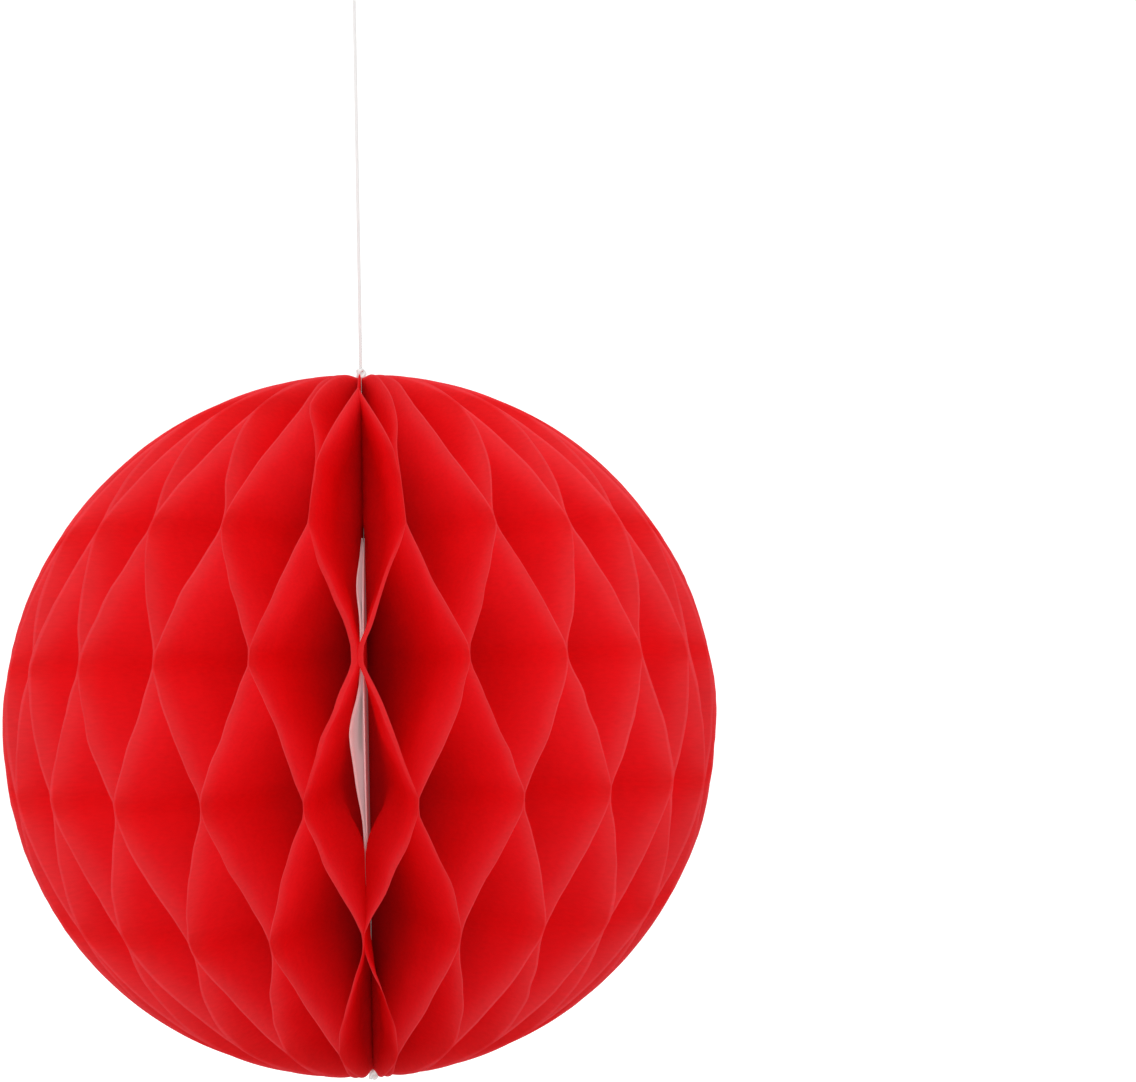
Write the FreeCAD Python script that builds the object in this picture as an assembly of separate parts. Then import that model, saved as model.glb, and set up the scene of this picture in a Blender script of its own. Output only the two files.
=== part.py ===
"""A tissue-paper honeycomb ball on a hanging thread, in millimetres.

The frame has +Z up, with its origin where the hanging loop bears on its hook. The ball hangs below it
on the Z axis, with its seam, where the two card covers meet, facing -Y.

The ball is a fan of half-disc tissue leaves that share a spine on the Z axis. Each leaf fills one thin
sector and sways from one side of it to the other, because glue lines at alternating heights bond it to
the leaf on its left and the leaf on its right. A leaf is ruled: straight lines run from its spine edge
to its swaying rim. Sector frame: X points out from the spine along the sector's middle, Y points on
round the ball, Z is up.
"""

import FreeCAD, Part
import math
import os

# the ball
leaf_count = 48
leaf_radius = 98.5
leaf_thickness = 0.1
glue_thickness = 0.1
glue_line_height = 4.0
glue_line_pitch = 34.15
bend_share = 0.2
rim_step_deg = 5.0

# the two card covers and the adhesive pads that hold them together
card_recess = 46.5
card_thickness = 0.4
card_spine_gap = 6.0
card_corner_radius = 2.0
pad_thickness = 0.15
pad_clearance = 0.05
pad_width = 8.0
pad_height = 14.0
pad_rim_margin = 5.0
pad_spacing = 26.0

# the thread and its knots
thread_diameter = 1.0
hook_radius = 4.0
loop_drop = 30.0
string_length = 118.0
knot_diameter = 3.2
knot_height = 3.0
knot_rounding = 1.0
loop_knot_diameter = 4.0
loop_knot_height = 3.6
loop_knot_rounding = 0.8
loop_leg_gap = 0.2
knot_clearance = 0.2
string_end_clearance = 0.05

# derived sizes
sector_deg = 360.0 / leaf_count
half_tangent = math.tan(math.radians(sector_deg / 2))
card_radius = leaf_radius - card_recess
spine_radius = (leaf_thickness + glue_thickness) / (2 * half_tangent)
glue_gap = glue_thickness * math.cos(math.radians(sector_deg / 2))
card_face = (pad_thickness + pad_clearance) / 2
seam_half = card_face + card_thickness + glue_gap / 2
thread_radius = thread_diameter / 2
loop_knot_top = -loop_drop
string_top = loop_knot_top - loop_knot_height - string_end_clearance
string_bottom = string_top - string_length
top_knot_top = string_bottom - string_end_clearance
pole_top = top_knot_top - knot_height - knot_clearance
ball_centre = pole_top - leaf_radius
pole_bottom = ball_centre - leaf_radius


def vector(x, y, z):
    """A point or direction."""
    return FreeCAD.Vector(x, y, z)


def sway(z):
    """How far a leaf stands to one side of its sector at height z over the ball's centre, from -1 to 1.

    Flat over each glue line, then a rounded bend into a straight run across to the other side.
    """
    place = z / glue_line_pitch - 0.5
    level = round(place)
    side = 1 if level % 2 == 0 else -1
    flat = glue_line_height / glue_line_pitch / 2
    share = max(0.0, (abs(place - level) - flat) / (0.5 - flat))
    slope = 1 / (1 - bend_share / 2)
    if share < bend_share:
        return side * (1 - slope * share * share / (2 * bend_share))
    return side * slope * (1 - share)


def glue_levels():
    """(number, height) of every glue line that lies wholly on the half disc."""
    reach = leaf_radius - glue_line_height
    numbers = range(-leaf_count, leaf_count)
    levels = [(n, (n + 0.5) * glue_line_pitch) for n in numbers]
    return [(n, z) for n, z in levels if abs(z) < reach]


def rim_heights():
    """Heights down the rim, with both edges of every glue line among them and no step over rim_step_deg."""
    edges = [-90.0, 90.0]
    for n, z in glue_levels():
        for edge in (z - glue_line_height / 2, z + glue_line_height / 2):
            edges.append(math.degrees(math.asin(edge / leaf_radius)))
    edges.sort()
    angles = [edges[0]]
    for low, high in zip(edges, edges[1:]):
        steps = max(1, math.ceil((high - low) / rim_step_deg))
        angles += [low + (high - low) * (i + 1) / steps for i in range(steps)]
    return [leaf_radius * math.sin(math.radians(a)) for a in angles]


def rim_reach(z, radius):
    """How far a half disc of that radius reaches out from its straight edge at height z."""
    return math.sqrt(max(0.0, radius * radius - z * z))


def leaf_sheet(side):
    """One swaying leaf in its sector frame, its centre at the origin. side is 1 or -1."""
    heights = rim_heights()
    points = []
    for z in heights:
        reach = rim_reach(z, leaf_radius)
        for out in (0.0, reach):
            y = side * sway(z) * out * half_tangent
            points.append(vector(spine_radius + out, y + leaf_thickness / 2, z))
            points.append(vector(spine_radius + out, y - leaf_thickness / 2, z))
    faces = []
    last = len(heights) - 1
    for i in range(last):
        a, b = 4 * i, 4 * (i + 1)
        low_pole, high_pole = i == 0, i + 1 == last
        if not low_pole:
            low_rim = a + 2
        else:
            low_rim = a
        if not high_pole:
            high_rim = b + 2
        else:
            high_rim = b
        if not low_pole:
            faces.append((a, high_rim, low_rim))
            faces.append((a + 1, low_rim + 1, high_rim + 1))
        if not high_pole:
            faces.append((a, b, high_rim))
            faces.append((a + 1, high_rim + 1, b + 1))
        faces.append((low_rim, high_rim, high_rim + 1))
        faces.append((low_rim, high_rim + 1, low_rim + 1))
        faces.append((a, a + 1, b + 1))
        faces.append((a, b + 1, b))
    used = sorted({i for face in faces for i in face})
    number = {old: new for new, old in enumerate(used)}
    shape = Part.Shape()
    shape.makeShapeFromMesh(
        ([points[i] for i in used], [tuple(number[i] for i in face) for face in faces]),
        1e-5,
    )
    solid = Part.makeSolid(shape.Shells[0] if shape.Shells else Part.Shell(shape.Faces))
    solid = solid.removeSplitter()
    if solid.Volume < 0:
        solid.reverse()
    return solid


def glue_line(z, face_side, inner, radius):
    """A glue line at height z on one side of a leaf, from inner out to a rim of that radius."""
    low, high = z - glue_line_height / 2, z + glue_line_height / 2
    heights = [h for h in rim_heights() if low - 1e-6 <= h <= high + 1e-6]

    def on_face(x, height):
        y = (x - spine_radius) * half_tangent + leaf_thickness / 2
        return vector(x, face_side * y, height)

    outline = [on_face(inner, low)]
    outline += [on_face(spine_radius + rim_reach(h, radius), h) for h in heights]
    outline += [on_face(inner, high)]
    outline.append(outline[0])
    face = Part.Face(Part.makePolygon(outline))
    return face.extrude(vector(0, face_side * glue_thickness, 0))


def glue_lines(side, face_side, inner, radius):
    """Every glue line of one side of a leaf that lies within that radius."""
    found = []
    for n, z in glue_levels():
        touches = side * (1 if n % 2 == 0 else -1)
        if touches == face_side and abs(z) + glue_line_height < radius:
            found.append(glue_line(z, face_side, inner, radius))
    return found


def sector_centres():
    """Where each sector's own centre lies, so that the covers' thickness fits into the seam.

    The first and last sector stand off by the seam's half width. Each sector slides along the bond
    plane it shares with the one before, so all bonds stay closed.
    """
    centre = [0.0, seam_half]
    centres = [tuple(centre)]
    for k in range(1, leaf_count):
        turn = math.radians(k * sector_deg)
        slide = -2 * seam_half * math.sin(turn) / (leaf_count / 2)
        centre = [centre[0] + slide * math.cos(turn), centre[1] + slide * math.sin(turn)]
        centres.append(tuple(centre))
    return centres


def to_ball(shape):
    """A shape drawn with the seam along +X, moved so that the seam faces -Y at the ball's height."""
    placed = shape.copy()
    placed.Placement = FreeCAD.Placement(
        vector(0, 0, ball_centre), FreeCAD.Rotation(vector(0, 0, 1), -90)
    ).multiply(placed.Placement)
    return placed


def in_sector(shape, k, centre):
    """A shape drawn in the sector frame, moved to sector k, counted from 1."""
    placed = shape.copy()
    turn = FreeCAD.Rotation(vector(0, 0, 1), (k - 0.5) * sector_deg)
    placed.Placement = FreeCAD.Placement(vector(centre[0], centre[1], 0), turn)
    return to_ball(placed)


def tissue_leaves():
    """Every tissue leaf with its far side's glue lines. The first also has those that hold its cover."""
    inner = spine_radius + 2 * glue_thickness
    sheets = {side: leaf_sheet(side) for side in (1, -1)}
    lines = {side: glue_lines(side, 1, inner, leaf_radius) for side in (1, -1)}
    leaves = {}
    for k, centre in enumerate(sector_centres(), 1):
        side = 1 if k % 2 == 0 else -1
        solids = [sheets[side]]
        if k < leaf_count:
            solids += lines[side]
        else:
            solids += glue_lines(side, 1, card_spine_gap + 1, card_radius - 2)
        if k == 1:
            solids += glue_lines(side, -1, card_spine_gap + 1, card_radius - 2)
        leaf = Part.makeCompound(solids)
        leaves["tissue_leaf_%02d" % k] = in_sector(leaf, k, centre)
    return leaves


def card_cover(side):
    """A half-disc card in the seam, on one side of its middle plane, with rounded corners by the spine."""
    top = rim_reach(card_spine_gap, card_radius)
    start = vector(card_spine_gap, side * card_face, -top)
    end = vector(card_spine_gap, side * card_face, top)
    middle = vector(card_radius, side * card_face, 0)
    rim = Part.Arc(start, middle, end).toShape()
    edge = Part.LineSegment(end, start).toShape()
    card = Part.Face(Part.Wire([rim, edge])).extrude(vector(0, side * card_thickness, 0))
    corners = [
        e
        for e in card.Edges
        if abs(e.Length - card_thickness) < 1e-6 and abs(e.Vertexes[0].X - card_spine_gap) < 1e-6
    ]
    return to_ball(card.makeFillet(card_corner_radius, corners))


def adhesive_pads():
    """Three thin pads between the covers near their rim: on the first, and just clear of the second."""
    pads = {}
    for name, z in (("upper", pad_spacing), ("middle", 0.0), ("lower", -pad_spacing)):
        far = rim_reach(abs(z) + pad_height / 2, card_radius) - pad_rim_margin
        pad = Part.makeBox(pad_width, pad_thickness, pad_height)
        pad.translate(vector(far - pad_width, card_face - pad_thickness, z - pad_height / 2))
        pads["adhesive_pad_" + name] = to_ball(pad)
    return pads


def thread_run(top, bottom):
    """A straight run of thread on the Z axis."""
    return Part.makeCylinder(thread_radius, top - bottom, vector(0, 0, bottom))


def swinging_string():
    """The string between its two knots. Each end is a half ball about the point that it swings on."""
    run = thread_run(string_top - thread_radius, string_bottom + thread_radius)
    for z in (string_top - thread_radius, string_bottom + thread_radius):
        run = run.fuse(Part.makeSphere(thread_radius, vector(0, 0, z)))
    return run.removeSplitter()


def knot(top, diameter, height, rounding):
    """A pulled-tight knot on the Z axis, as a rounded barrel with its top at that height."""
    barrel = Part.makeCylinder(diameter / 2, height, vector(0, 0, top - height))
    rims = [e for e in barrel.Edges if len(e.Vertexes) == 1]
    return barrel.makeFillet(rounding, rims)


def hanging_loop(loop_knot):
    """The loop over the hook: two straight legs up from the loop knot and an arc of the hook's size."""
    bend = hook_radius + thread_radius
    leg_x = thread_radius + loop_leg_gap / 2
    foot = loop_knot_top - loop_knot_height / 4
    drop = -hook_radius - foot
    reach = math.hypot(leg_x, drop)
    toward_foot = math.atan2(-drop, leg_x)
    tangent = toward_foot + math.acos(bend / reach)
    hip_x = bend * math.cos(tangent)
    hip_z = -hook_radius + bend * math.sin(tangent)
    feet = [vector(-leg_x, 0, foot), vector(leg_x, 0, foot)]
    hips = [vector(-hip_x, 0, hip_z), vector(hip_x, 0, hip_z)]
    path = Part.Wire(
        [
            Part.LineSegment(feet[0], hips[0]).toShape(),
            Part.Arc(hips[0], vector(0, 0, thread_radius), hips[1]).toShape(),
            Part.LineSegment(hips[1], feet[1]).toShape(),
        ]
    )
    rise = hips[0] - feet[0]
    section = Part.Wire(Part.makeCircle(thread_radius, feet[0], rise))
    tube = path.makePipeShell([section], True, True)
    expected = math.pi * thread_radius**2 * path.Length
    print("loop bend radius", bend, "volume against section x length", tube.Volume / expected)
    return tube.cut(loop_knot)


def thread_pieces():
    """The thread from the loop on the hook down through the ball's spine, with its knots."""
    loop_knot = knot(loop_knot_top, loop_knot_diameter, loop_knot_height, loop_knot_rounding)
    top_knot = knot(top_knot_top, knot_diameter, knot_height, knot_rounding)
    low_top = pole_bottom - knot_clearance
    bottom_knot = knot(low_top, knot_diameter, knot_height, knot_rounding)
    return {
        "hanging_loop": hanging_loop(loop_knot),
        "loop_knot": loop_knot,
        "string": swinging_string(),
        "top_knot": top_knot,
        "spine_thread": thread_run(top_knot_top - knot_height, low_top),
        "bottom_knot": bottom_knot,
    }


def build():
    """Every piece by its name."""
    pieces = tissue_leaves()
    pieces["card_cover_right"] = card_cover(1)
    pieces["card_cover_left"] = card_cover(-1)
    pieces.update(adhesive_pads())
    pieces.update(thread_pieces())
    return pieces


os.makedirs("parts", exist_ok=True)
for name, shape in build().items():
    shape.exportStep(os.path.join("parts", name + ".step"))
print("ball centre z", ball_centre, "spine radius", spine_radius, "seam half width", seam_half)
print("string swings about z", string_top - thread_radius, "ball about z", string_bottom + thread_radius)
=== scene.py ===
"""The finished look of a red tissue-paper honeycomb ball on its white thread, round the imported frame.

Lengths are in metres. The ball is a fan of half-disc tissue leaves about an upright spine, bonded to each
other at alternating heights, with a white card cover on each side of the seam that faces -Y. Angles round
the ball, called turns, are counted from the seam, anticlockwise seen from above. Bond plane k stands
between leaf k and leaf k + 1; planes 0 and 48 are the two sides of the seam.
"""

import math

import bpy
import numpy as np
from mathutils import Matrix, Vector


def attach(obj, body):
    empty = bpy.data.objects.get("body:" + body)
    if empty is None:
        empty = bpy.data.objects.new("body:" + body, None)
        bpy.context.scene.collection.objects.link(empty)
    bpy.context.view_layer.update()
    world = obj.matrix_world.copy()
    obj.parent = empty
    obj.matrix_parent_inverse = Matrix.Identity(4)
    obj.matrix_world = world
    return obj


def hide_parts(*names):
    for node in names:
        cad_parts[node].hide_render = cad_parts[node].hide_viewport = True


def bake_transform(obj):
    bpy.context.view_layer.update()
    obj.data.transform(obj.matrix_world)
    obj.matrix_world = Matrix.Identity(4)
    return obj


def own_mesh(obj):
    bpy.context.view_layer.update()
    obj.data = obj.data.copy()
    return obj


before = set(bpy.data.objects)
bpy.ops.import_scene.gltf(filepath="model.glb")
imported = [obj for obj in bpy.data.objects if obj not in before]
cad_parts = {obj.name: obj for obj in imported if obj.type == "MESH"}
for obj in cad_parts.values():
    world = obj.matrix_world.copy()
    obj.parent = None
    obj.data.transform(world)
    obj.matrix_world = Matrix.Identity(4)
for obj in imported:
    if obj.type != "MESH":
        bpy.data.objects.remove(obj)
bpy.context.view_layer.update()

# the ball
leaf_count = 48
sector = 360 / leaf_count
fold_step = 7.25
leaf_radius = 0.0985
spine_radius = 0.0015257
seam_half = 0.00055
offset_reach = 0.0064
glue_height = 0.0022
glue_pitch = 0.03415
sharp_bend = 0.03
slow_bend = 0.11
ball_centre = -0.2534

# what isn't quite even: the glue lines' heights, the cells' widths in degrees, and the leaves' cut rims
glue_drift = 0.0011
wider_right = 0.18
narrower_left = 0.16
width_drift = 0.04
rim_waves = (0.00022, 5, 0.03)
rim_nicks = (0.00005, 7, 0.004)

# the seam: where its leaves press together low down, and the strip along their rims that curls away
pinch_out = 0.05
pinch_spread = 0.013
curl_width = 0.0030

# the covers and pads
card_radius = 0.052
card_gap = 0.007
card_thickness = 0.0004
card_corner = 0.002
card_face = 0.0001
pad_size = (0.008, 0.00015, 0.014)
pad_heights = {"upper": 0.026, "middle": 0.0, "lower": -0.026}
pad_rim_margin = 0.005

# the width that a flat map shows from 0 to 1
flat_width = 0.2

# the thread
thread_radius = 0.0005
hook_radius = 0.004
loop_foot = -0.0309
string_top = -0.03365
string_bottom = -0.15165
knot_tops = {"loop": -0.030, "top": -0.1517, "bottom": -0.3521}


# ---------------------------------------------------------------- camera


def make_camera():
    """Eye level with the ball, a little right of its seam, turned so that it hangs at the lower left."""
    side, yaw, pitch, roll = (math.radians(a) for a in (1.2, 6.41, 3.79, -1.44))
    distance, height = 0.5285, 0.0151
    ahead = Vector((-math.sin(side), math.cos(side), 0))
    right = Vector((math.cos(side), math.sin(side), 0))
    up = Vector((0, 0, 1))
    place = -ahead * distance + Vector((0, 0, ball_centre + height))
    ahead, right = (
        ahead * math.cos(yaw) + right * math.sin(yaw),
        right * math.cos(yaw) - ahead * math.sin(yaw),
    )
    ahead, up = (
        ahead * math.cos(pitch) + up * math.sin(pitch),
        up * math.cos(pitch) - ahead * math.sin(pitch),
    )
    right, up = (
        right * math.cos(roll) + up * math.sin(roll),
        up * math.cos(roll) - right * math.sin(roll),
    )
    camera = bpy.data.objects.new("camera", bpy.data.cameras.new("camera"))
    camera.data.sensor_width = 36
    camera.data.lens = 57.7
    camera.data.clip_start = 0.01
    turn = Matrix((right, up, -ahead)).transposed().to_4x4()
    camera.matrix_world = Matrix.Translation(place) @ turn
    bpy.context.scene.collection.objects.link(camera)
    bpy.context.scene.camera = camera


make_camera()


# ---------------------------------------------------------------- meshes


def new_piece(name, points, faces):
    """An object whose mesh has these points and faces, in the row frame."""
    mesh = bpy.data.meshes.new(name)
    mesh.from_pydata(points.tolist(), [], faces)
    mesh.polygons.foreach_set("use_smooth", np.full(len(mesh.polygons), True))
    mesh.update()
    piece = bpy.data.objects.new(name, mesh)
    bpy.context.scene.collection.objects.link(piece)
    return piece


def grid_faces(rows, columns, wrap=False, first=0):
    """Quads between neighbouring rows and columns of a grid, going round the columns if it wraps."""
    i = np.arange(rows - 1)[:, None]
    j = np.arange(columns if wrap else columns - 1)[None, :]
    k = (j + 1) % columns
    quads = (
        i * columns + j,
        i * columns + k,
        (i + 1) * columns + k,
        (i + 1) * columns + j,
    )
    faces = np.stack([np.broadcast_to(q, (rows - 1, j.size)) for q in quads], -1).reshape(-1, 4)
    return (faces + first).tolist()


def point_value(piece, name, values):
    """A named number at every point, for the materials."""
    attribute = piece.data.attributes.new(name, "FLOAT", "POINT")
    attribute.data.foreach_set("value", np.asarray(values, np.float32).ravel())


def flat_map(piece, across, along):
    """A UV map of the piece laid flat, from each point's place across and along it."""
    across, along = np.ravel(across) / flat_width, np.ravel(along) / flat_width + 0.5
    layer = piece.data.uv_layers.new(name="flat")
    corner = np.zeros(len(piece.data.loops), np.int32)
    piece.data.loops.foreach_get("vertex_index", corner)
    uv = np.stack([across[corner], along[corner]], -1)
    layer.data.foreach_set("uv", uv.astype(np.float32).ravel())


def smooth_step(x):
    """0 to 1 with level ends."""
    x = np.clip(x, 0, 1)
    return x * x * (3 - 2 * x)


def ripple(random, across, along, count, pitch):
    """A sum of sine waves of random direction and phase, about 1 high, whose wavelengths are near pitch."""
    total = np.zeros(np.broadcast(across, along).shape)
    for _ in range(count):
        angle = random.uniform(-math.pi, math.pi)
        wave = 2 * math.pi / (pitch * random.uniform(0.7, 1.5))
        total += np.sin(
            wave * (across * math.sin(angle) + along * math.cos(angle))
            + random.uniform(0, 2 * math.pi)
        )
    return total / math.sqrt(count)


# ---------------------------------------------------------------- thread


def thread_points(name, corners):
    """Points along the NURBS spline whose control points are the corners."""
    curve = bpy.data.curves.new(name, "CURVE")
    curve.dimensions = "3D"
    spline = curve.splines.new("NURBS")
    spline.points.add(len(corners) - 1)
    for point, corner in zip(spline.points, corners):
        point.co = (*corner, 1)
    spline.order_u = 3
    spline.use_endpoint_u = True
    curve.resolution_u = 48
    route = bpy.data.objects.new(name, curve)
    bpy.context.scene.collection.objects.link(route)
    mesh = bpy.data.meshes.new_from_object(route)
    points = np.array([v.co for v in mesh.vertices], float)
    bpy.data.objects.remove(route)
    bpy.data.meshes.remove(mesh)
    return points


def evenly(points, step):
    """The same path with points at an even spacing near step."""
    run = np.concatenate([[0], np.cumsum(np.linalg.norm(np.diff(points, axis=0), axis=1))])
    at = np.linspace(0, run[-1], max(3, int(round(run[-1] / step)) + 1))
    return np.stack([np.interp(at, run, points[:, i]) for i in range(3)], -1), at


def twisted_thread(name, points, lay_length=0.0024, strands=3, sides=8):
    """Strands twisted round a path that lies in the XZ plane, each closed at both ends.

    Strand s at length t stands off the path by a little under half the thread's radius, at angle
    2 pi (t / lay + s / strands), and is a round tube of a little over half the thread's radius.
    """
    path, at = evenly(points, lay_length / 11)
    along = np.gradient(path, axis=0)
    along /= np.linalg.norm(along, axis=1)[:, None]
    depth = np.array([[0.0, 1.0, 0.0]])
    across = np.cross(depth, along)
    around = np.linspace(0, 2 * math.pi, sides, endpoint=False)
    strand_radius = thread_radius * 0.54
    offset = thread_radius - strand_radius
    verts, faces, ends = [], [], []
    for s in range(strands):
        turn = (2 * math.pi * (at / lay_length + s / strands))[:, None]
        middle = path + offset * (np.cos(turn) * across + np.sin(turn) * depth)
        ring = middle[:, None, :] + strand_radius * (
            np.cos(around)[None, :, None] * across[:, None, :]
            + np.sin(around)[None, :, None] * depth[None, :, :]
        )
        first = sum(len(v) for v in verts)
        verts.append(ring.reshape(-1, 3))
        faces += grid_faces(len(path), sides, wrap=True, first=first)
        faces.append([first + i for i in reversed(range(sides))])
        faces.append([first + (len(path) - 1) * sides + i for i in range(sides)])
        ends.append(np.repeat(at, sides))
    piece = new_piece(name, np.concatenate(verts), faces)
    point_value(piece, "thread_run", np.concatenate(ends) / lay_length)
    return piece, path


def tight_knot(name, top, width, height):
    """A pulled-tight overhand knot of the thread: a tube on a trefoil, turned on its side as it tightens.

    At angle t the tube's centre is at radius a + b cos 3t, turn 2t and height c sin 3t.
    """
    t = np.linspace(0, 2 * math.pi, 120, endpoint=False)
    tube = thread_radius * 1.08
    reach, rise = width / 2 - tube, height / 2 - tube
    radius = reach * (0.62 + 0.38 * np.cos(3 * t))
    centre = np.stack(
        [radius * np.cos(2 * t), radius * np.sin(2 * t), top - height / 2 + rise * np.sin(3 * t)], -1
    )
    along = np.roll(centre, -1, 0) - np.roll(centre, 1, 0)
    along /= np.linalg.norm(along, axis=1)[:, None]
    out = centre - np.array([0, 0, top - height / 2])
    out -= (out * along).sum(1)[:, None] * along
    out /= np.linalg.norm(out, axis=1)[:, None]
    side = np.cross(along, out)
    sides = 12
    around = np.linspace(0, 2 * math.pi, sides, endpoint=False)
    plies = 1 + 0.07 * np.cos(3 * around[None, :] - 14 * t[:, None])
    ring = centre[:, None, :] + tube * plies[..., None] * (
        np.cos(around)[None, :, None] * out[:, None, :] + np.sin(around)[None, :, None] * side[:, None, :]
    )
    ring[..., 2] = np.clip(ring[..., 2], top - height, top)
    rows = len(t)
    i = np.arange(rows)[:, None]
    j = np.arange(sides)[None, :]
    quads = (
        i * sides + j,
        ((i + 1) % rows) * sides + j,
        ((i + 1) % rows) * sides + (j + 1) % sides,
        i * sides + (j + 1) % sides,
    )
    faces = np.stack([np.broadcast_to(q, (rows, sides)) for q in quads], -1).reshape(-1, 4)
    piece = new_piece(name, ring.reshape(-1, 3), faces.tolist())
    point_value(piece, "thread_run", np.repeat(t * 2, sides))
    return piece


def loop_corners():
    """The loop's route: a foot, the corners of the polygon that its arc touches, and the other foot."""
    bend = hook_radius + thread_radius
    foot_x = thread_radius + 0.0001
    drop = -hook_radius - loop_foot
    hip = math.atan2(-drop, foot_x) + math.acos(bend / math.hypot(foot_x, drop))
    half = (math.pi / 2 - hip) / 3
    reach = bend / math.cos(half)
    angles = [math.pi - hip - half, math.pi / 2, hip + half]
    corners = [(reach * math.cos(a), 0, -hook_radius + reach * math.sin(a)) for a in angles]
    return [(-foot_x, 0, loop_foot), *corners, (foot_x, 0, loop_foot)]


string, string_path = twisted_thread(
    "string_twisted",
    thread_points("string_route", [(0, 0, string_top), (0, 0, -0.09), (0, 0, string_bottom)]),
)
loop, _ = twisted_thread("hanging_loop_twisted", thread_points("loop_route", loop_corners()))
spine, _ = twisted_thread(
    "spine_thread_twisted",
    thread_points("spine_route", [(0, 0, -0.1547), (0, 0, -0.25), (0, 0, -0.3521)]),
)
loop_knot = tight_knot("loop_knot_tied", knot_tops["loop"], 0.004, 0.0036)
top_knot = tight_knot("top_knot_tied", knot_tops["top"], 0.0032, 0.003)
bottom_knot = tight_knot("bottom_knot_tied", knot_tops["bottom"], 0.0032, 0.003)


# ---------------------------------------------------------------- tissue leaves

chance = np.random.default_rng(4871)
levels = np.arange(-3, 3)
level_heights = (levels + 0.5) * glue_pitch
upper_level = level_heights[4]

# how far each bond stands above or below its own level; the two sides of the seam share theirs
bond_shift = chance.uniform(-glue_drift, glue_drift, (leaf_count + 1, len(levels)))
bond_shift[leaf_count] = bond_shift[0]

# the leaves beside the seam's pair swing over late above their upper glue line: how late, and how far
late_leaves = {2: (4.0, 0.33), leaf_count - 1: (3.0, 1.0)}

# each bond plane's turn: cells are a little wider right of the seam and narrower left of it
widths = np.full(leaf_count, sector)
widths[:6] += wider_right
widths[36:] -= narrower_left
widths += chance.uniform(-width_drift, width_drift, leaf_count)
widths += (360 - widths.sum()) / leaf_count
plane_turn = np.radians(np.concatenate([[0], np.cumsum(widths)]))

# how much of the folded stack's room lies before each bond plane, from 0 to 1
room_before = np.concatenate([[0], np.cumsum(widths - fold_step)]) / (360 - leaf_count * fold_step)


def sway(height):
    """Which side of its sector a leaf stands on at a height over the ball's centre, from -1 to 1.

    Level over each glue line, then a parabola into a straight run across to the other side, and a parabola
    again. The bend is slow on the side of a glue line towards the nearer pole, and sharp towards the middle.
    """
    place = height / glue_pitch - 0.5
    below = np.floor(place)
    side = np.where(below % 2 == 0, 1.0, -1.0)
    flat = glue_height / glue_pitch / 2
    share = np.clip((place - below - flat) / (1 - 2 * flat), 0, 1)
    first = np.where(below >= 0, slow_bend, sharp_bend)
    last = np.where(below <= -2, slow_bend, sharp_bend)
    slope = 1 / (1 - (first + last) / 2)
    gone = np.where(
        share < first,
        slope * share**2 / (2 * first),
        np.where(share > 1 - last, 1 - slope * (1 - share) ** 2 / (2 * last), slope * (share - first / 2)),
    )
    return side * (1 - 2 * gone)


def plane_offset(plane, radius, height):
    """How far a bond plane stands beside the axis: the covers' thickness, shared out round the fan.

    It grows evenly from nothing at the axis to its full share before the covers begin. The share falls from
    one side of the seam to the other with the room that each leaf has once it is folded. Past the covers'
    rim the two sides of the seam close up.
    """
    offset = seam_half * (1 - 2 * room_before[plane]) * np.minimum(radius / offset_reach, 1)
    if plane in (0, leaf_count):
        past = np.hypot(radius, height) - card_radius
        offset = offset * (1 - 0.93 * smooth_step((past - 0.001) / 0.006))
    return offset


def seam_share(away, out, reach, height):
    """A seam leaf's distance from the seam, as a share of its sector, from what its rim's would be.

    Near the spine it lies against the seam, further out beside the covers' top than elsewhere, and it
    presses to it in front of the covers' lower half. A narrow strip along the rim curls away from the seam,
    most of all either side of the middle glue line.
    """
    beside_top = smooth_step((height - 0.020) / 0.026) * smooth_step((0.088 - height) / 0.034)
    away = away * smooth_step((out / reach - 0.04 - 0.10 * beside_top) / (0.28 + 0.12 * beside_top))
    lower = smooth_step((-0.013 - height) / 0.021) * smooth_step((height + 0.070) / 0.022)
    pinch = lower * np.exp(-(((out - pinch_out) / pinch_spread) ** 2))
    away = away * (1 - pinch)
    curl = 0.12 + 0.88 * smooth_step((height + 0.045) / 0.02) * smooth_step((0.062 - height) / 0.012)
    strip = smooth_step((out - reach + curl_width) / 0.0023)
    middle = np.clip(away, 0, 1)
    return away + 0.1 * (1 - middle**2) * curl * strip


def leaf_grid(rows=146, columns=32):
    """Heights of the rows and shares of the way out of the columns.

    The columns stand closer together towards the rim, and one more stands beside the covers' inner edge.
    """
    rise = np.linspace(-math.pi / 2, math.pi / 2, rows)[1:-1]
    share = 1 - (1 - np.linspace(0, 1, columns)) ** 1.35
    share = np.sort(np.append(share, (card_gap - 0.0005) / leaf_radius))
    return np.sin(rise)[:, None] * leaf_radius, share[None, :]


def felt_height(k, height):
    """The height that leaf k's sway goes by, which puts each level where the leaf's own bond is."""
    planes = np.where((levels % 2 == 0) == (k % 2 == 0), k, k - 1)
    shift = bond_shift[planes, np.arange(len(levels))]
    beyond = np.maximum(np.abs(height) - level_heights[-1], 0) * np.sign(height)
    felt = np.interp(height, level_heights + shift, level_heights) + beyond
    if k in late_leaves:
        power, most = late_leaves[k]
        rise = np.clip((felt - upper_level) / glue_pitch, 0, 1)
        late = upper_level + glue_pitch * most * np.tanh(rise**power / most)
        felt = np.where(felt > upper_level, late, felt)
    return felt


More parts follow.
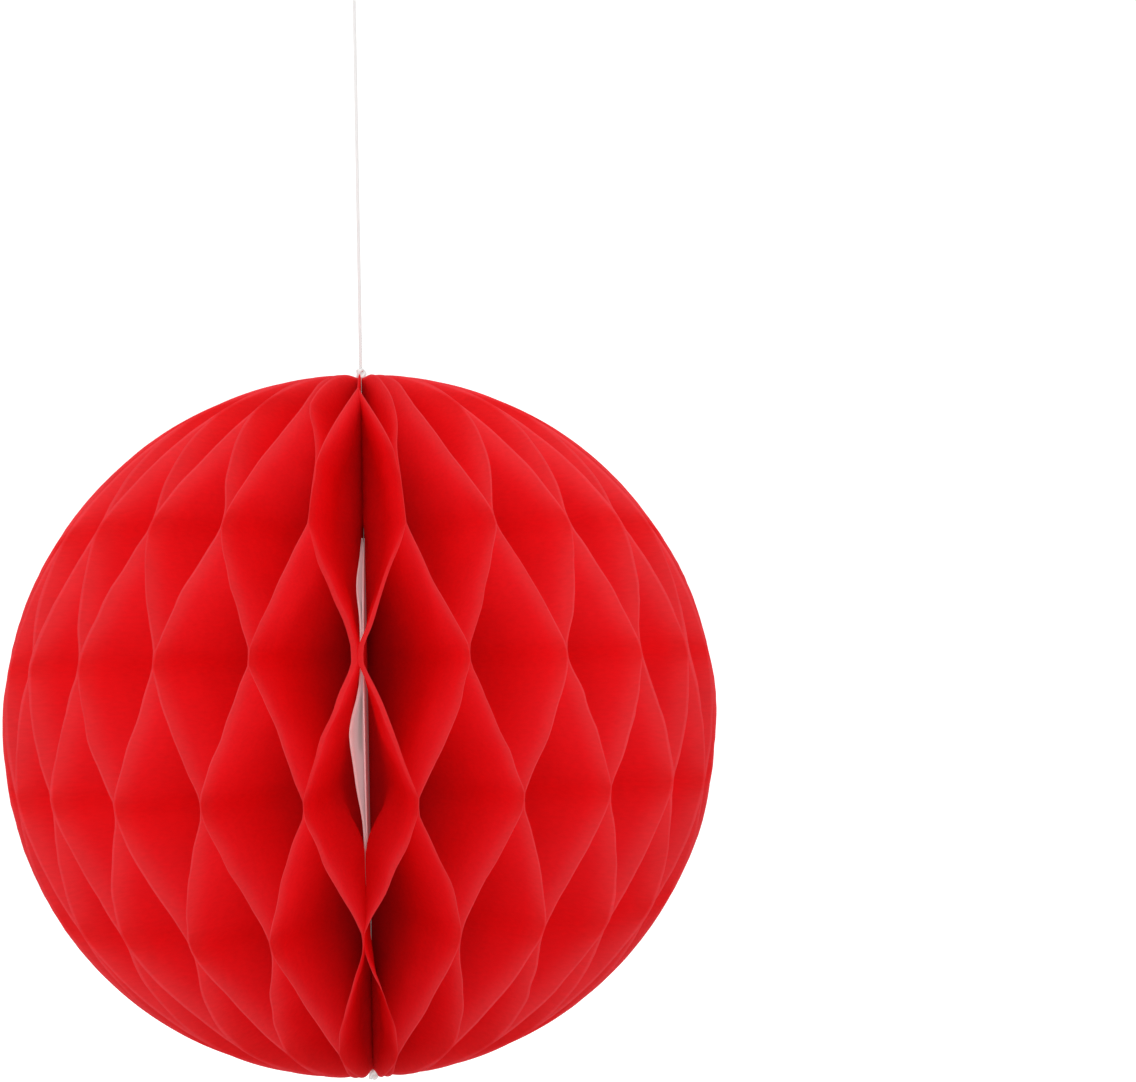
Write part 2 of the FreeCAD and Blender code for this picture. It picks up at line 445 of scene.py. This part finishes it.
def way_across(k, random, height, out, reach):
    """Where leaf k stands on the way from bond plane k - 1, which is 0, to plane k, which is 1.

    It follows the sway, with slow and fine ripples that vanish where the leaf is glued and at the spine.
    """
    side = 1 if k % 2 == 0 else -1
    across = sway(felt_height(k, height))
    free = 1 - across**2
    slow = ripple(random, out, height, 6, 0.05)
    fine = ripple(random, out * 0.35, height, 8, 0.011)
    wander = free * (0.05 * slow + 0.024 * fine) * smooth_step(out / 0.05)
    w = 0.5 + 0.5 * side * across * 0.994 + wander
    if k in (1, leaf_count):
        away = w if k == 1 else 1 - w
        close = 1 - np.clip((height - 0.064) / 0.0255, 0, 1) ** 1.7
        away = np.where(height > upper_level, np.minimum(close, 1 + wander), away)
        away = seam_share(away, out, np.maximum(reach, 1e-6), height)
        w = away if k == 1 else 1 - away
    return np.clip(w, 0.003, 0.997)


def tissue_leaf(k):
    """Leaf k as a grid of height and distance out: a half disc that sways between bond planes k - 1 and k.

    A point at height z and distance r from the axis is turned about the axis by w of the way from one
    plane to the next. The grid is closed by a point at each end of the spine.
    """
    random = np.random.default_rng(100 + k)
    height, share = leaf_grid()
    reach = np.sqrt(np.maximum(0, leaf_radius**2 - height**2))
    trim = 0 * height
    for size, count, pitch in (rim_waves, rim_nicks):
        trim = trim + size * ripple(random, 0 * height, height, count, pitch)
    out = share * reach * (1 + trim / leaf_radius)
    w = way_across(k, random, height, out, reach)
    radius = spine_radius + out - 0.0009 * (1 - share) ** 8
    before, after = (plane_turn[p] + plane_offset(p, radius, height) / radius for p in (k - 1, k))
    turn = before + w * (after - before)
    level = np.broadcast_to(height, out.shape)
    points = np.stack([radius * np.sin(turn), -radius * np.cos(turn), ball_centre + level], -1)
    rows, columns = out.shape
    middle = plane_turn[k - 1] + 0.5 * (plane_turn[k] - plane_turn[k - 1])
    spine_foot = [spine_radius * math.sin(middle), -spine_radius * math.cos(middle)]
    poles = np.array([[*spine_foot, ball_centre + s * leaf_radius] for s in (-1, 1)])
    faces = grid_faces(rows, columns)
    low_pole, high_pole = rows * columns, rows * columns + 1
    last = (rows - 1) * columns
    faces += [[low_pole, j + 1, j] for j in range(columns - 1)]
    faces += [[high_pole, last + j, last + j + 1] for j in range(columns - 1)]
    leaf = new_piece("leaf_%02d" % k, np.concatenate([points.reshape(-1, 3), poles]), faces)
    weights = np.concatenate([np.broadcast_to(w, out.shape).ravel(), [0.5, 0.5]])
    to_rim = leaf_radius - np.sqrt(out**2 + level**2)
    point_value(leaf, "rim_distance", np.concatenate([to_rim.ravel(), [0, 0]]) * 1000)
    point_value(leaf, "sheet_number", np.full(len(weights), float(k)))
    flat_map(
        leaf,
        np.concatenate([out.ravel(), [0, 0]]),
        np.concatenate([level.ravel(), [-leaf_radius, leaf_radius]]),
    )
    return leaf, weights


def fold_with_fan(leaf):
    """Bakes the leaf's place into its mesh; nothing turns it between bond planes."""
    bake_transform(leaf)


# ---------------------------------------------------------------- covers and pads


def card_bow(radius, height):
    """How far the left cover bows away from the right one near its rim, between the leaves' glue lines."""
    lean = (
        -0.0030 * np.exp(-(((height + 0.002) / 0.009) ** 2))
        - 0.0014 * np.exp(-(((height + 0.015) / 0.008) ** 2))
        - 0.0010 * np.exp(-(((height - 0.037) / 0.007) ** 2))
    )
    return lean * np.clip((radius - 0.02) / 0.032, 0, 1.1) ** 3.2


def card_cover(side):
    """One cover as a grid of height and distance out, thickened away from the seam's middle plane.

    Its two inner corners are round.
    """
    top = math.sqrt(card_radius**2 - card_gap**2)
    rise = np.linspace(-math.pi / 2, math.pi / 2, 90)[:, None]
    height = np.sin(rise) * top
    corner = np.clip((np.abs(height) - (top - card_corner)) / card_corner, 0, 1)
    near = card_gap + card_corner * (1 - np.sqrt(1 - corner**2 * 0.999))
    far = np.maximum(np.sqrt(np.maximum(card_radius**2 - height**2, 0)), near + 0.0004)
    share = np.linspace(0, 1, 26)[None, :]
    out = near + share * (far - near)
    level = np.broadcast_to(height, out.shape)
    bow = card_bow(np.hypot(out, level), level) if side < 0 else 0 * out
    beside = side * card_face + bow
    points = np.stack([beside, -out, ball_centre + level], -1)
    faces = grid_faces(*out.shape)
    name = "cover_right" if side > 0 else "cover_left"
    cover = new_piece(name, points.reshape(-1, 3), faces)
    flat_map(cover, out, level)
    wall = cover.modifiers.new("card", "SOLIDIFY")
    wall.thickness = card_thickness
    wall.offset = -1 if side > 0 else 1
    return cover


def sticky_pad(place, height):
    """A thin pad on the right cover's inner face, a little in from the cover's rim."""
    wide, thick, tall = pad_size
    far = math.sqrt(card_radius**2 - (abs(height) + tall / 2) ** 2) - pad_rim_margin
    out = np.linspace(far - wide, far, 9)[None, :]
    level = np.linspace(height - tall / 2, height + tall / 2, 15)[:, None]
    out, level = np.broadcast_arrays(out, level)
    beside = np.full(out.shape, card_face)
    points = np.stack([beside, -out, ball_centre + level], -1)
    pad = new_piece("pad_" + place, points.reshape(-1, 3), grid_faces(*out.shape))
    flat_map(pad, out, level)
    wall = pad.modifiers.new("foam", "SOLIDIFY")
    wall.thickness = thick
    wall.offset = 1
    return pad


# ---------------------------------------------------------------- materials


def node_maker(tree):
    """A function that adds a node to a tree with its settings and inputs.

    An input is named, or given by its place as i0, i1 and so on.
    """

    def add(kind, settings=(), **inputs):
        node = tree.nodes.new(kind)
        for name, value in dict(settings).items():
            setattr(node, name, value)
        for name, value in inputs.items():
            by_place = name[0] == "i" and name[1:].isdigit()
            socket = node.inputs[int(name[1:]) if by_place else name.replace("_", " ")]
            if isinstance(value, bpy.types.NodeSocket):
                tree.links.new(value, socket)
            else:
                socket.default_value = value
        return node

    return add


def worked(add, operation, *values):
    """The result of a sum on values that are numbers or sockets."""
    inputs = {"i%d" % i: value for i, value in enumerate(values)}
    return add("ShaderNodeMath", {"operation": operation}, **inputs).outputs[0]


def fade(add, value, start, end):
    """1 where a value is below start, falling smoothly to 0 at end."""
    settings = {"interpolation_type": "SMOOTHSTEP"}
    return add("ShaderNodeMapRange", settings, Value=value, i1=start, i2=end, i3=1.0, i4=0.0).outputs[0]


def blended(add, share, colour, other):
    """One colour turning into the other as share goes from 0 to 1."""
    return add("ShaderNodeMix", {"data_type": "RGBA"}, Factor=share, i6=colour, i7=other).outputs[2]


def shaded(add, colour, shade):
    """A colour made darker or lighter by a value near 1."""
    return add("ShaderNodeVectorMath", {"operation": "SCALE"}, i0=colour, Scale=shade).outputs[0]


def paper_fibre_group():
    """Paper's mottled body and fibres: cloudy thin and thick patches with short fibres across them.

    Shade is a value about 1 that multiplies a colour; Height is for a bump.
    """
    tree = bpy.data.node_groups.new("paper_fibre", "ShaderNodeTree")
    face = tree.interface
    face.new_socket("Place", in_out="INPUT", socket_type="NodeSocketVector")
    for name, value in (("Cloud Size", 60.0), ("Fibre Size", 700.0), ("Strength", 0.1)):
        socket = face.new_socket(name, in_out="INPUT", socket_type="NodeSocketFloat")
        socket.default_value = value
    face.new_socket("Shade", in_out="OUTPUT", socket_type="NodeSocketFloat")
    face.new_socket("Height", in_out="OUTPUT", socket_type="NodeSocketFloat")
    add = node_maker(tree)
    given = tree.nodes.new("NodeGroupInput").outputs
    made = tree.nodes.new("NodeGroupOutput").inputs
    clouds = add(
        "ShaderNodeTexNoise", Vector=given["Place"], Scale=given["Cloud Size"], Detail=4.0, Roughness=0.6
    ).outputs[0]
    stretched = add("ShaderNodeMapping", Vector=given["Place"], Scale=(0.3, 1.0, 1.0)).outputs[0]
    fibres = add(
        "ShaderNodeTexNoise", Vector=stretched, Scale=given["Fibre Size"], Detail=2.0, Roughness=0.5
    ).outputs[0]
    centred = worked(add, "SUBTRACT", worked(add, "ADD", clouds, fibres), 1.0)
    shade = worked(add, "MULTIPLY_ADD", centred, given["Strength"], 1.0)
    tree.links.new(shade, made["Shade"])
    tree.links.new(fibres, made["Height"])
    return tree


paper_fibre = paper_fibre_group()


def new_material(name):
    """A material with only its output, and the function that adds its nodes."""
    material = bpy.data.materials.new(name)
    material.use_nodes = True
    tree = material.node_tree
    tree.nodes.clear()
    out = tree.nodes.new("ShaderNodeOutputMaterial")
    return material, tree, out, node_maker(tree)


def fibre_nodes(add, tree, place, clouds, fibres, strength):
    """The paper fibre group placed in a material with its own sizes."""
    group = add("ShaderNodeGroup", {"node_tree": paper_fibre})
    tree.links.new(place, group.inputs["Place"])
    group.inputs["Cloud Size"].default_value = clouds
    group.inputs["Fibre Size"].default_value = fibres
    group.inputs["Strength"].default_value = strength
    return group


def tissue_material():
    """Red tissue: painted highlight, pinker over each leaf's outer part and lighter at the cut rim, a faint
    band over each glue line, and light showing through.
    """
    material, tree, out, add = new_material("red_tissue_paper")
    flat = add("ShaderNodeUVMap", {"uv_map": "flat"}).outputs[0]
    number = add("ShaderNodeAttribute", {"attribute_name": "sheet_number"}).outputs["Fac"]
    apart = add("ShaderNodeCombineXYZ", X=0.0, Y=0.0, Z=number).outputs[0]
    place = add("ShaderNodeVectorMath", {"operation": "ADD"}, i0=flat, i1=apart).outputs[0]
    fibre = fibre_nodes(add, tree, place, 14.0, 260.0, 0.16)
    rim = add("ShaderNodeAttribute", {"attribute_name": "rim_distance"}).outputs["Fac"]
    height = add("ShaderNodeSeparateXYZ", i0=flat).outputs[1]
    pitches = flat_width / glue_pitch
    steps = worked(add, "MULTIPLY_ADD", height, pitches, -0.5 * pitches - 0.5)
    glued = fade(add, worked(add, "PINGPONG", steps, 0.5), 0.075, 0.1)
    bonded = worked(add, "MULTIPLY_ADD", glued, -0.012, fibre.outputs["Shade"])
    # painted highlight: the outer 9 mm of each leaf turns pinker and the cut rim lighter still, standing in
    # for light caught by the rims and flanks
    inner, painted_rim_sheen, edge = (0.97, 0.028, 0.04, 1), (0.94, 0.052, 0.062, 1), (0.96, 0.085, 0.1, 1)
    body = blended(add, fade(add, rim, 0.0, 9.0), inner, painted_rim_sheen)
    body = blended(add, fade(add, rim, 0.2, 0.9), body, edge)
    colour = shaded(add, body, bonded)
    bump = add("ShaderNodeBump", Strength=0.12, Distance=0.0001, Height=fibre.outputs["Height"]).outputs[0]
    front = add("ShaderNodeBsdfPrincipled", Base_Color=colour, Roughness=0.85, Normal=bump)
    front.inputs["Specular IOR Level"].default_value = 0.03
    through = add("ShaderNodeBsdfTranslucent", Color=colour, Normal=bump)
    both = add("ShaderNodeMixShader", i0=0.7, i1=front.outputs[0], i2=through.outputs[0])
    tree.links.new(both.outputs[0], out.inputs[0])
    return material


def card_material():
    """Uncoated white card, with a little of the pink light that the tissue throws on it and through it."""
    material, tree, out, add = new_material("white_card")
    flat = add("ShaderNodeUVMap", {"uv_map": "flat"}).outputs[0]
    fibre = fibre_nodes(add, tree, flat, 30.0, 420.0, 0.06)
    # painted light: the pink tint in the card's colour stands in for the red light that the tissue throws on
    # it
    colour = shaded(add, (0.95, 0.87, 0.87), fibre.outputs["Shade"])
    bump = add("ShaderNodeBump", Strength=0.2, Distance=0.0001, Height=fibre.outputs["Height"]).outputs[0]
    face = add("ShaderNodeBsdfPrincipled", Base_Color=colour, Roughness=0.75, Normal=bump)
    # painted glow: a faint pink emission stands in for the tissue's light falling on the card and shining
    # through it
    face.inputs["Emission Color"].default_value = (1, 0.6, 0.62, 1)
    face.inputs["Emission Strength"].default_value = 0.07
    tree.links.new(face.outputs[0], out.inputs[0])
    return material


def pad_material():
    """Off-white foam of a double-sided pad, with fine pores."""
    material, tree, out, add = new_material("adhesive_foam")
    flat = add("ShaderNodeUVMap", {"uv_map": "flat"}).outputs[0]
    pores = add("ShaderNodeTexVoronoi", Vector=flat, Scale=500.0).outputs["Distance"]
    fibre = fibre_nodes(add, tree, flat, 90.0, 600.0, 0.05)
    shade = worked(add, "MULTIPLY_ADD", pores, 0.12, fibre.outputs["Shade"])
    colour = shaded(add, (0.78, 0.77, 0.73), shade)
    bump = add("ShaderNodeBump", Strength=0.3, Distance=0.0001, Height=pores).outputs[0]
    face = add("ShaderNodeBsdfPrincipled", Base_Color=colour, Roughness=0.5, Normal=bump)
    tree.links.new(face.outputs[0], out.inputs[0])
    return material


def thread_material():
    """White cotton thread: fine filaments along each strand, some a little lighter or darker than others."""
    material, tree, out, add = new_material("white_cotton_thread")
    place = add("ShaderNodeTexCoord").outputs["Object"]
    run = add("ShaderNodeAttribute", {"attribute_name": "thread_run"}).outputs["Fac"]
    wave = worked(add, "MULTIPLY", run, 9.0)
    spread = add("ShaderNodeCombineXYZ", X=wave, Y=0.0, Z=0.0).outputs[0]
    settings = {"operation": "MULTIPLY_ADD"}
    mixed = add("ShaderNodeVectorMath", settings, i0=place, i1=(9000, 9000, 700), i2=spread).outputs[0]
    hairs = add("ShaderNodeTexNoise", Vector=mixed, Scale=1.0, Detail=3.0, Roughness=0.6).outputs[0]
    shade = add("ShaderNodeMapRange", Value=hairs, i1=0.25, i2=0.75, i3=0.86, i4=1.04).outputs[0]
    colour = shaded(add, (0.86, 0.85, 0.84), shade)
    bump = add("ShaderNodeBump", Strength=0.4, Distance=0.0001, Height=hairs).outputs[0]
    face = add("ShaderNodeBsdfPrincipled", Base_Color=colour, Roughness=0.8, Normal=bump)
    face.inputs["Sheen Weight"].default_value = 0.3
    tree.links.new(face.outputs[0], out.inputs[0])
    return material


red_tissue = tissue_material()
white_card = card_material()
foam = pad_material()
cotton = thread_material()


def finish_piece(piece, material, slot, *nodes):
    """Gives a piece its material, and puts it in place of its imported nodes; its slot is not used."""
    piece.data.materials.append(material)
    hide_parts(*nodes)


# ---------------------------------------------------------------- putting it together

for k in range(1, leaf_count + 1):
    leaf, weights = tissue_leaf(k)
    finish_piece(leaf, red_tissue, "red_tissue", "tissue_leaf_%02d" % k)
    fold_with_fan(leaf)

for side, body, node in ((1, "ball", "card_cover_right"), (-1, "fan_48", "card_cover_left")):
    cover = card_cover(side)
    finish_piece(cover, white_card, "white_card", node)
    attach(cover, body)
    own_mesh(cover)

for place, height in pad_heights.items():
    pad = sticky_pad(place, height)
    finish_piece(pad, foam, "adhesive_pad", "adhesive_pad_" + place)
    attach(pad, "ball")
    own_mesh(pad)

for piece, body, node in (
    (loop, "hanger", "hanging_loop"),
    (loop_knot, "hanger", "loop_knot"),
    (string, "tether", "string"),
    (top_knot, "crown", "top_knot"),
    (spine, "ball", "spine_thread"),
    (bottom_knot, "ball", "bottom_knot"),
):
    finish_piece(piece, cotton, "white_thread", node)
    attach(piece, body)


# ---------------------------------------------------------------- stage


def make_stage():
    """A pale floor that sweeps up behind, a white surround, and soft lamps at the left, front and back."""
    x = np.linspace(-4, 4, 3)[None, :]
    y = np.concatenate([[-5, 0], 2.2 + 0.8 * np.sin(np.linspace(0, math.pi / 2, 24)), [3.0]])[:, None]
    z = np.concatenate([[0, 0], 0.8 - 0.8 * np.cos(np.linspace(0, math.pi / 2, 24)), [5.0]])[:, None] - 0.6
    grid = np.broadcast_arrays(x, y, z)
    floor = new_piece("floor", np.stack(grid, -1).reshape(-1, 3), grid_faces(len(y), 3))
    material, tree, out, add = new_material("pale_floor")
    seen = add("ShaderNodeLightPath").outputs["Is Camera Ray"]
    lift = worked(add, "MULTIPLY", seen, 0.7)
    grey = (0.6, 0.6, 0.6, 1)
    face = add("ShaderNodeBsdfPrincipled", Base_Color=grey, Roughness=0.9, Emission_Strength=lift)
    face.inputs["Emission Color"].default_value = (1, 1, 1, 1)
    tree.links.new(face.outputs[0], out.inputs[0])
    floor.data.materials.append(material)
    world = bpy.data.worlds.new("surround")
    world.use_nodes = True
    world.node_tree.nodes["Background"].inputs[0].default_value = (1, 1, 1, 1)
    world.node_tree.nodes["Background"].inputs[1].default_value = 0.85
    bpy.context.scene.world = world
    bpy.context.scene.view_settings.view_transform = "Standard"
    for name, place, size, power in (
        ("key", (-0.9, -1.3, 0.6), 1.2, 5),
        ("front", (0.04, -1.9, -0.15), 0.25, 10),
        ("back", (0.0, 1.4, 0.9), 1.5, 8),
    ):
        lamp = bpy.data.lights.new(name, "AREA")
        lamp.shape, lamp.size, lamp.energy = "DISK", size, power
        piece = bpy.data.objects.new(name, lamp)
        piece.location = place
        aim = Vector((0, 0, ball_centre)) - Vector(place)
        piece.rotation_euler = aim.to_track_quat("-Z", "Y").to_euler()
        bpy.context.scene.collection.objects.link(piece)


make_stage()
